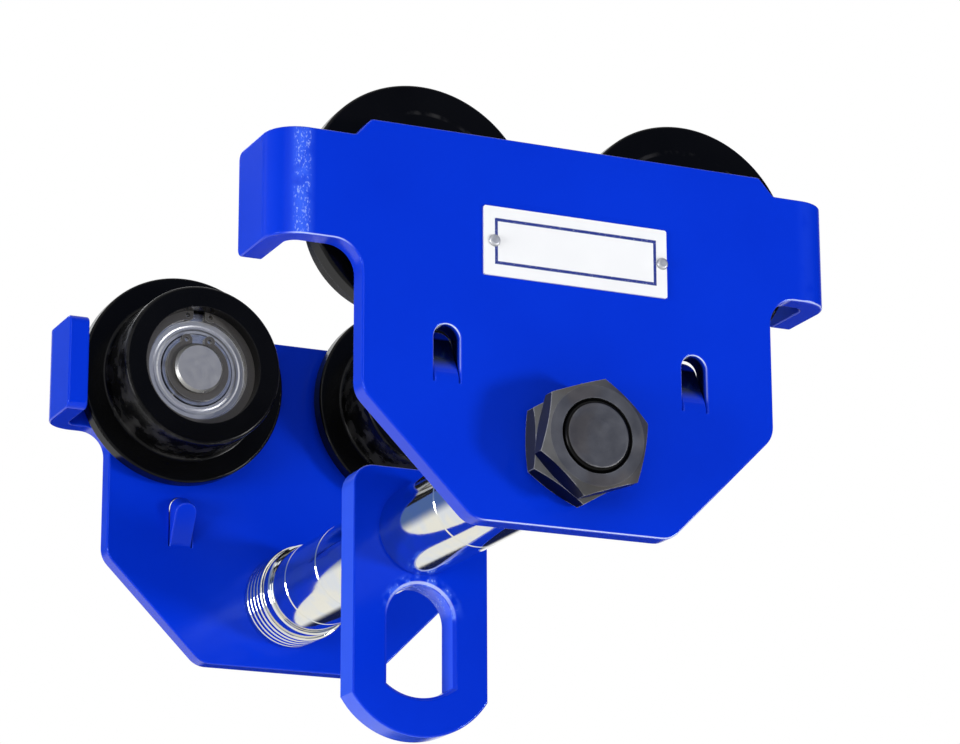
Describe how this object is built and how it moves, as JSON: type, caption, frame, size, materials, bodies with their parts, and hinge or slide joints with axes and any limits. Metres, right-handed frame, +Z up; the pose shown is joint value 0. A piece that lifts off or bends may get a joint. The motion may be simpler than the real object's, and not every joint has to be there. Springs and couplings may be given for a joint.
{
  "type": "manual beam trolley",
  "caption": "Manual push trolley for an I-beam: bent side plates on flanged ball-bearing wheels, joined by a load bar with spacer sleeves that carries a slotted suspension plate.",
  "frame": {"origin": "Middle of the running plane, where the wheel treads stand on the beam's lower flange, halfway between the side plates and halfway between the wheels.", "axes": "+X along the beam, +Y across the beam from the front plate with the nameplate to the rear plate, +Z up."},
  "size_m": [0.215, 0.3032, 0.2007],
  "materials": {
    "blue_paint": "gloss blue paint over sheet steel",
    "black_enamel": "gloss black enamel over cast steel",
    "black_oxide": "black oxide, oiled",
    "zinc_plate": "bright zinc plate",
    "spring_steel": "phosphated spring steel",
    "axle_steel": "turned steel",
    "shield_steel": "pressed bright steel",
    "bearing_steel": "ground bearing steel",
    "label_plate": null,
    "rivet_aluminium": "plain aluminium"
  },
  "bodies": {
    "carriage": {"axle_circlip_front_left": "spring_steel", "axle_circlip_front_right": "spring_steel", "axle_circlip_rear_left": "spring_steel", "axle_circlip_rear_right": "spring_steel", "axle_front_left": "axle_steel", "axle_front_right": "axle_steel", "axle_rear_left": "axle_steel", "axle_rear_right": "axle_steel", "bearing_inner_front_left": "bearing_steel", "bearing_inner_front_right": "bearing_steel", "bearing_inner_rear_left": "bearing_steel", "bearing_inner_rear_right": "bearing_steel", "inner_nut_front": "black_oxide", "inner_nut_rear": "black_oxide", "load_bar": "black_oxide", "lock_nut_front": "black_oxide", "lock_nut_rear": "black_oxide", "nameplate": "label_plate", "nameplate_rivets": "rivet_aluminium", "shim_washers_front": "zinc_plate", "shim_washers_rear": "zinc_plate", "side_plate_front": "blue_paint", "side_plate_rear": "blue_paint", "sleeve_long_front": "zinc_plate", "sleeve_long_rear": "zinc_plate", "sleeve_middle_front": "zinc_plate", "sleeve_middle_rear": "zinc_plate", "sleeve_short_front": "zinc_plate", "sleeve_short_rear": "zinc_plate", "spacer_ring_front": "zinc_plate", "spacer_ring_rear": "zinc_plate"},
    "hanger": {"suspension_plate": "blue_paint"},
    "wheel_front_left_body": {"wheel_front_left": "black_enamel", "bearing_outer_front_left": "bearing_steel", "bearing_shields_front_left": "shield_steel", "bore_circlip_front_left": "spring_steel"},
    "balls_front_left_body": {"bearing_balls_front_left": "bearing_steel", "bearing_cage_front_left": "bearing_steel"},
    "wheel_front_right_body": {"wheel_front_right": "black_enamel", "bearing_outer_front_right": "bearing_steel", "bearing_shields_front_right": "shield_steel", "bore_circlip_front_right": "spring_steel"},
    "balls_front_right_body": {"bearing_balls_front_right": "bearing_steel", "bearing_cage_front_right": "bearing_steel"},
    "wheel_rear_left_body": {"wheel_rear_left": "black_enamel", "bearing_outer_rear_left": "bearing_steel", "bearing_shields_rear_left": "shield_steel", "bore_circlip_rear_left": "spring_steel"},
    "balls_rear_left_body": {"bearing_balls_rear_left": "bearing_steel", "bearing_cage_rear_left": "bearing_steel"},
    "wheel_rear_right_body": {"wheel_rear_right": "black_enamel", "bearing_outer_rear_right": "bearing_steel", "bearing_shields_rear_right": "shield_steel", "bore_circlip_rear_right": "spring_steel"},
    "balls_rear_right_body": {"bearing_balls_rear_right": "bearing_steel", "bearing_cage_rear_right": "bearing_steel"}
  },
  "joints": [
    {"name": "wheel_front_left_spin", "type": "hinge", "parent": "carriage", "child": "wheel_front_left_body", "pos_m": [-0.04975, -0.1063, 0.032], "axis": [0, 1, 0], "continuous": true},
    {"name": "balls_front_left_spin", "type": "hinge", "parent": "carriage", "child": "balls_front_left_body", "pos_m": [-0.04975, -0.1063, 0.032], "axis": [0, 1, 0], "continuous": true},
    {"name": "wheel_front_right_spin", "type": "hinge", "parent": "carriage", "child": "wheel_front_right_body", "pos_m": [0.04975, -0.1063, 0.032], "axis": [0, 1, 0], "continuous": true},
    {"name": "balls_front_right_spin", "type": "hinge", "parent": "carriage", "child": "balls_front_right_body", "pos_m": [0.04975, -0.1063, 0.032], "axis": [0, 1, 0], "continuous": true},
    {"name": "wheel_rear_left_spin", "type": "hinge", "parent": "carriage", "child": "wheel_rear_left_body", "pos_m": [-0.04975, 0.1063, 0.032], "axis": [0, 1, 0], "continuous": true},
    {"name": "balls_rear_left_spin", "type": "hinge", "parent": "carriage", "child": "balls_rear_left_body", "pos_m": [-0.04975, 0.1063, 0.032], "axis": [0, 1, 0], "continuous": true},
    {"name": "wheel_rear_right_spin", "type": "hinge", "parent": "carriage", "child": "wheel_rear_right_body", "pos_m": [0.04975, 0.1063, 0.032], "axis": [0, 1, 0], "continuous": true},
    {"name": "balls_rear_right_spin", "type": "hinge", "parent": "carriage", "child": "balls_rear_right_body", "pos_m": [0.04975, 0.1063, 0.032], "axis": [0, 1, 0], "continuous": true},
    {"name": "suspension_swing", "type": "hinge", "parent": "carriage", "child": "hanger", "pos_m": [0, 0, -0.0509], "axis": [0, 1, 0], "range_deg": [-85, 85]}
  ],
  "couplings": [
    {"joint": "balls_front_left_spin", "follows": "wheel_front_left_spin", "ratio": 0.61791},
    {"joint": "balls_front_right_spin", "follows": "wheel_front_right_spin", "ratio": 0.61791},
    {"joint": "balls_rear_left_spin", "follows": "wheel_rear_left_spin", "ratio": 0.61791},
    {"joint": "balls_rear_right_spin", "follows": "wheel_rear_right_spin", "ratio": 0.61791}
  ]
}
